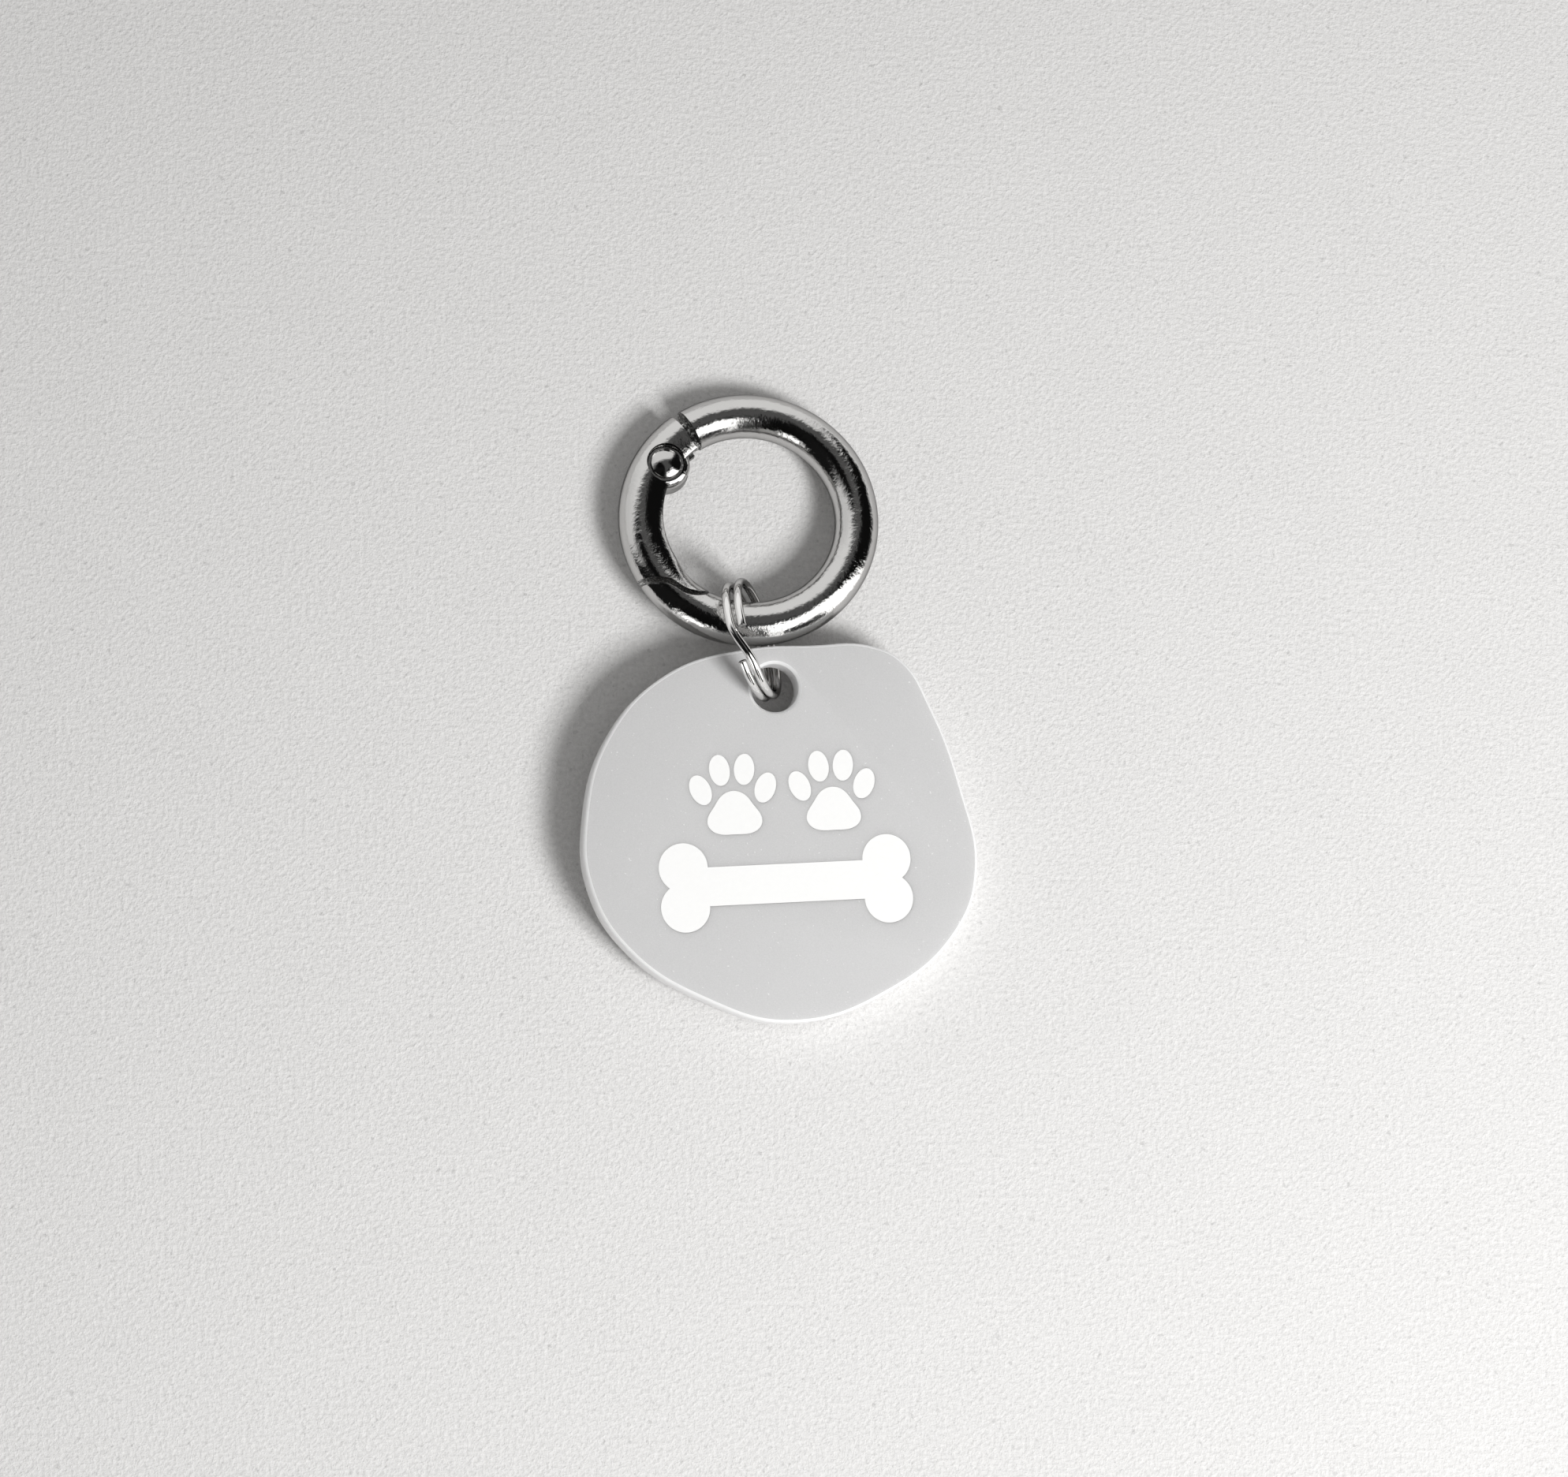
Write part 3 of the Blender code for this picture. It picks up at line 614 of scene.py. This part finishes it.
PIN_RADIUS = 0.6 * MM
PIN_CLEARANCE = 0.15 * MM
PIN_HEAD_EDGE = 0.12 * MM
PIN_HEAD_DOME = 0.42 * MM
PIN_HEAD_CORNER = 0.03 * MM
PIN_ROUNDING = 0.06 * MM

pin_metal = plated("riveted_pin", 0.60, 0.07, 0.012 * MM)
under_head = sink_floor + PIN_CLEARANCE
head_edge = under_head + PIN_HEAD_EDGE
ball = (PIN_HEAD_RADIUS ** 2 + PIN_HEAD_DOME ** 2) / (2 * PIN_HEAD_DOME)
reach = asin(PIN_HEAD_RADIUS / ball)
dome = [(ball * sin(reach * i / 16), head_edge + PIN_HEAD_DOME - ball * (1 - cos(reach * i / 16)))
        for i in range(17)]
half = dome + [(PIN_HEAD_RADIUS, under_head + PIN_HEAD_CORNER),
               (PIN_HEAD_RADIUS - PIN_HEAD_CORNER, under_head), (PIN_RADIUS, under_head)]
hinge_pin = turned("hinge_pin_rivet", half + [(x, -z) for x, z in reversed(half)], (pin_metal,), 96,
                   pin_spot)
round_edges(hinge_pin, PIN_ROUNDING, 3)
set_down(hinge_pin, clip_place)
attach(hinge_pin, "clip_gate")
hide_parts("hinge_pin")


# Gate spring

# A small torsion spring of drawn steel wire round the pin, between the tang's eye and the
# upper cheek. It shows only through the slot.

drawn_steel, steel, shader = finish("spring_steel", 1.0)
streak = steel.noise(0.08 * MM, 3.0)
feed(shader, Base_Color=steel.grey(0.40 + streak * 0.16, 1.0, 1.02),
     Roughness=0.20 + streak * 0.15)
for slot in frame["nodes"]["gate_spring"].material_slots:
    slot.material = drawn_steel


# Split ring

# Two turns of round bright-drawn wire with blunt cut ends. The wire crosses over from one
# turn to the other between its ends, which lets things be threaded on.

SPLIT_RING_RADIUS = 5.55 * MM
WIRE_RADIUS = 0.4 * MM
TURN_OFFSET_DISC = 0.43 * MM      # from the middle of the two turns to each of them
TURN_OFFSET_CLIP = 0.605 * MM
WIRE_END_NEAR = 64.5              # degrees round the ring, from the disc's side
WIRE_END_FAR = 97.5
CROSSING = 46.0                   # degrees over which the wire crosses
WIRE_POINTS = 641
WIRE_SIDES = 40
WIRE_END_ROUNDING = 0.04 * MM

wire_metal = plated("bright_steel_wire", 0.86, 0.06, 0.002 * MM)


def shape_tree(name, sizes):
    """A Geometry Nodes tree with named inputs for its sizes."""
    tree = bpy.data.node_groups.new(name, "GeometryNodeTree")
    tree.interface.new_socket("Geometry", in_out="INPUT", socket_type="NodeSocketGeometry")
    tree.interface.new_socket("Geometry", in_out="OUTPUT", socket_type="NodeSocketGeometry")
    for size in sizes:
        tree.interface.new_socket(size, in_out="INPUT", socket_type="NodeSocketFloat")
    tree.interface.new_socket("Material", in_out="INPUT", socket_type="NodeSocketMaterial")
    nodes = Nodes(tree)
    return nodes, nodes.add("NodeGroupInput")


def input_name(tree, name):
    """The identifier by which a modifier knows one of its tree's inputs."""
    for item in tree.interface.items_tree:
        if item.name == name and item.in_out == "INPUT":
            return item.identifier


def grow(name, nodes, given, shape, sizes, material):
    """End a tree, run it, and return what it makes as a plain mesh piece."""
    solid = nodes.add("GeometryNodeSetMaterial", {}, {
        "Geometry": nodes.add("GeometryNodeRealizeInstances", {}, {"Geometry": shape}),
        "Material": given.of("Material")})
    nodes.add("NodeGroupOutput", {}, {"Geometry": solid})
    obj = bpy.data.objects.new(name, bpy.data.meshes.new(name))
    scene.collection.objects.link(obj)
    modifier = obj.modifiers.new("Shape", "NODES")
    modifier.node_group = nodes.tree
    for key, value in sizes.items():
        modifier[input_name(nodes.tree, key)] = value
    modifier[input_name(nodes.tree, "Material")] = material
    apply(obj)
    return obj


ring_nodes, given = shape_tree("two_turns_of_wire", (
    "Ring radius", "Wire radius", "Side at disc", "Side at clip", "First angle", "Travel",
    "Crossing at", "Crossing"))
line = ring_nodes.add("GeometryNodeMeshLine", {"mode": "OFFSET"}, {"Count": WIRE_POINTS})
gone = ring_nodes.add("GeometryNodeInputIndex") / (WIRE_POINTS - 1) * given.of("Travel")
share = ring_nodes.add("ShaderNodeClamp", {}, {
    "Value": (gone - given.of("Crossing at")) / given.of("Crossing")})
turn = (given.of("First angle") - gone) * (pi / 180)
across = ring_nodes.sum("COSINE", turn)
at_disc, at_clip = given.of("Side at disc"), given.of("Side at clip")
side = (at_disc + at_clip + across * (at_disc - at_clip)) * 0.5
spot = ring_nodes.add("ShaderNodeCombineXYZ", {}, {
    "X": across * given.of("Ring radius"),
    "Y": ring_nodes.sum("SINE", turn) * given.of("Ring radius"),
    "Z": ring_nodes.sum("COSINE", share * pi) * side})
path = ring_nodes.add("GeometryNodeMeshToCurve", {}, {
    "Mesh": ring_nodes.add("GeometryNodeSetPosition", {}, {"Geometry": line, "Position": spot})})
section = ring_nodes.add("GeometryNodeCurvePrimitiveCircle", {}, {
    "Resolution": WIRE_SIDES, "Radius": given.of("Wire radius")})
tube = ring_nodes.add("GeometryNodeCurveToMesh", {}, {
    "Curve": path, "Profile Curve": section, "Fill Caps": True})
travel = WIRE_END_NEAR - WIRE_END_FAR + 720
split_ring = grow("split_ring_wire", ring_nodes, given, tube, {
    "Ring radius": SPLIT_RING_RADIUS, "Wire radius": WIRE_RADIUS,
    "Side at disc": TURN_OFFSET_DISC, "Side at clip": TURN_OFFSET_CLIP,
    "First angle": WIRE_END_NEAR, "Travel": travel, "Crossing at": (travel - CROSSING) / 2,
    "Crossing": CROSSING}, wire_metal)
round_edges(split_ring, WIRE_END_ROUNDING, 2, 60)
set_down(split_ring, joint_place("tag_swing", 1))
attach(split_ring, "wire_ring")
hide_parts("split_ring")


# Disc

# A frosted acrylic sheet cut to a soft pebble outline, with a drilled hole. The cut wall is
# smoother, and its near-white colour is a painted glow, carried over the rounded edge as a painted
# highlight: a fine light line along the face. The engraving is a shallow pocket cut by laser.

DISC_THICKNESS = 3.0 * MM
DISC_EDGE = 0.26 * MM
HOLE_RADIUS = 2.3 * MM
HOLE_LIP = 0.28 * MM
GLOW_DEPTH = 1.4 * MM
DISC_OUTLINE = [
    (-2.7, 3.65), (3.6, 4.12), (9.2, 4.2), (12.4, 2.75), (15.1, -1.6), (17.9, -9.2),
    (19.35, -17.2), (17.3, -23.0), (10.6, -28.7), (1.2, -31.6), (-6.9, -29.5),
    (-14.3, -24.7), (-17.7, -19.0), (-18.15, -12.6), (-15.9, -4.8), (-10.3, 1.15),
]
HOLE_AT = (-0.000483, 0.001276, 0.00381)
DISC_FACE = (0.074398, -0.044703, 0.996226)
ENGRAVING_DEPTH = 0.45 * MM
ENGRAVING_TURN = 3.0
PAINT_GAP = 0.02 * MM
CAD_GAP = 0.1 * MM
PAW_PLACES = ((-4.1, -10.4), (5.4, -9.9))
BONE_LENGTH = 24.0 * MM
BONE_LOBE = 2.25 * MM
BONE_WAIST = 1.75 * MM
BONE_PLACE = (0.9, -18.5)
PAD_RADIUS = 2.15 * MM
PAD_DROP = 1.75 * MM
TOES = ((-3.1, 0.75, 22), (-1.18, 2.55, 6), (1.18, 2.55, -6), (3.1, 0.75, -22))
TOE_HALF_WIDTH = 0.9 * MM
TOE_HALF_LENGTH = 1.4 * MM

face_up = Vector(DISC_FACE)
away = (Vector((0.0, 1.0, 0.0)) - face_up * face_up.y).normalized()
disc_place = (Matrix.Translation(HOLE_AT)
              @ Matrix((away.cross(face_up), away, face_up)).transposed().to_4x4())


def glow_through(shader, share):
    """Let light spread inside the sheet, as milky acrylic does."""
    shader.inputs["Subsurface Weight"].default_value = share
    shader.inputs["Subsurface Radius"].default_value = (1.0, 1.0, 1.0)
    shader.inputs["Subsurface Scale"].default_value = GLOW_DEPTH


frosted, fog, shader = finish("frosted_acrylic")
mist = fog.noise(9 * MM)
sand = fog.noise(0.13 * MM, 2.0, 0.6)
painted_glints = fog.step(fog.noise(0.26 * MM, 1.0), 0.72, 0.80)
body = 0.572 + mist * 0.03 + sand * 0.12
feed(shader,
     # The light specks are painted glints on the frosted face.
     Base_Color=fog.blend(painted_glints, fog.grey(body, 0.996, 0.996), (0.82, 0.82, 0.82, 1)),
     Roughness=0.42 + sand * 0.2,
     Normal=fog.relief(sand, 0.02 * MM, 0.6))
shader.inputs["Specular IOR Level"].default_value = 0.35
glow_through(shader, 0.6)

cut_wall_painted_glow, saw, shader = finish("cut_wall_painted_glow")
lines = saw.noise(0.5 * MM)
# Painted glow on the cut wall and a painted highlight on the rounded edge: a near-white base.
feed(shader, Base_Color=saw.grey(0.92 + lines * 0.07), Roughness=0.25 + lines * 0.2)
glow_through(shader, 0.9)

outline = bpy.data.curves.new("disc_outline", "CURVE")
outline.dimensions = "2D"
outline.resolution_u = 24
edge_line = outline.splines.new("BEZIER")
edge_line.bezier_points.add(len(DISC_OUTLINE) - 1)
for point, (x, y) in zip(edge_line.bezier_points, DISC_OUTLINE):
    point.co = (x * MM, y * MM, 0.0)
    point.handle_left_type = "AUTO"
    point.handle_right_type = "AUTO"
edge_line.use_cyclic_u = True
drawn = bpy.data.objects.new("disc_outline", outline)
scene.collection.objects.link(drawn)
bpy.context.view_layer.update()
traced = bpy.data.meshes.new_from_object(
    drawn.evaluated_get(bpy.context.evaluated_depsgraph_get()))
round_line = [(v.co.x, v.co.y) for v in traced.vertices]
bpy.data.objects.remove(drawn)

top = DISC_THICKNESS / 2
acrylic = (frosted, cut_wall_painted_glow)
disc = plate("acrylic_disc", round_line, -top, top, acrylic)
round_edges(disc, DISC_EDGE, 4, 60)
wide = HOLE_RADIUS + HOLE_LIP
work(disc, turned("drill", [(0, -2 * top), (wide, -2 * top), (wide, -top),
                            (HOLE_RADIUS, HOLE_LIP - top), (HOLE_RADIUS, top - HOLE_LIP),
                            (wide, top), (wide, 2 * top), (0, 2 * top)],
                  acrylic, 96), "DIFFERENCE")


def moved(outline, spot):
    """An outline turned with the engraving and set at its place on the disc."""
    a = radians(ENGRAVING_TURN)
    return [(x * cos(a) - y * sin(a) + spot[0] * MM, x * sin(a) + y * cos(a) + spot[1] * MM)
            for x, y in outline]


def bone(grow_by):
    """Four round lobes and a bar."""
    lobe = BONE_LOBE + grow_by
    middle = BONE_LENGTH / 2 - BONE_LOBE
    rise = BONE_LOBE * 0.83
    meets_bar = 180 - asin((BONE_WAIST + grow_by - rise) / lobe) * 180 / pi
    meets_middle = -asin(rise / lobe) * 180 / pi
    quarter = arc(lobe, meets_bar, meets_middle, 40, (middle, rise))
    right = quarter + [(x, -y) for x, y in reversed(quarter[:-1])]
    return right + [(-x, y) for x, y in reversed(right)]


def paw(grow_by):
    """A rounded pad, and four toes in a fan."""
    pad = []
    for i in range(72):
        a = 2 * pi * i / 72
        reach = PAD_RADIUS * (1 - 0.13 * sin(3 * a)) + grow_by
        pad.append((1.12 * reach * cos(a), 0.92 * reach * sin(a) - PAD_DROP))
    shapes = [pad]
    for x, y, lean in TOES:
        a = radians(lean)
        toe = []
        for i in range(48):
            across = (TOE_HALF_WIDTH + grow_by) * cos(2 * pi * i / 48)
            along = (TOE_HALF_LENGTH + grow_by) * sin(2 * pi * i / 48)
            toe.append((x * MM + across * cos(a) - along * sin(a),
                        y * MM + across * sin(a) + along * cos(a)))
        shapes.append(toe)
    return shapes


def engraved(grow_by):
    """All the outlines of the engraving, each at its place on the disc."""
    shapes = [moved(bone(grow_by), BONE_PLACE)]
    for spot in PAW_PLACES:
        shapes += [moved(shape, spot) for shape in paw(grow_by)]
    return shapes


for shape in engraved(CAD_GAP):
    work(disc, plate("pocket", shape, top - ENGRAVING_DEPTH, 2 * top, acrylic), "DIFFERENCE")
for face in disc.data.polygons:
    face.material_index = 1 if abs(face.normal.z) < 0.995 else 0
set_down(disc, disc_place, 35)
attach(disc, "tag")
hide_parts("tag_disc")


# Paint

# White paint wiped into the engraving, level with the face. Its surface is faintly crusted where
# it dried.

paint, wet, shader = finish("white_paint")
crust = wet.noise(0.4 * MM)
feed(shader,
     Base_Color=wet.grey(0.95 + crust * 0.04, 1.0, 0.99),
     Roughness=0.50 + crust * 0.2,
     Normal=wet.relief(crust, 0.02 * MM, 0.5))

fills = bmesh.new()
for shape in engraved(CAD_GAP - PAINT_GAP):
    one = plate("fill", shape, top - ENGRAVING_DEPTH + PAINT_GAP, top - PAINT_GAP, ())
    fills.from_mesh(one.data)
    bpy.data.objects.remove(one)
fill = mesh_piece("engraving_paint", fills, (paint,))
set_down(fill, disc_place)
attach(fill, "tag")
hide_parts(*(node for node in frame["nodes"] if node.endswith("_fill")))
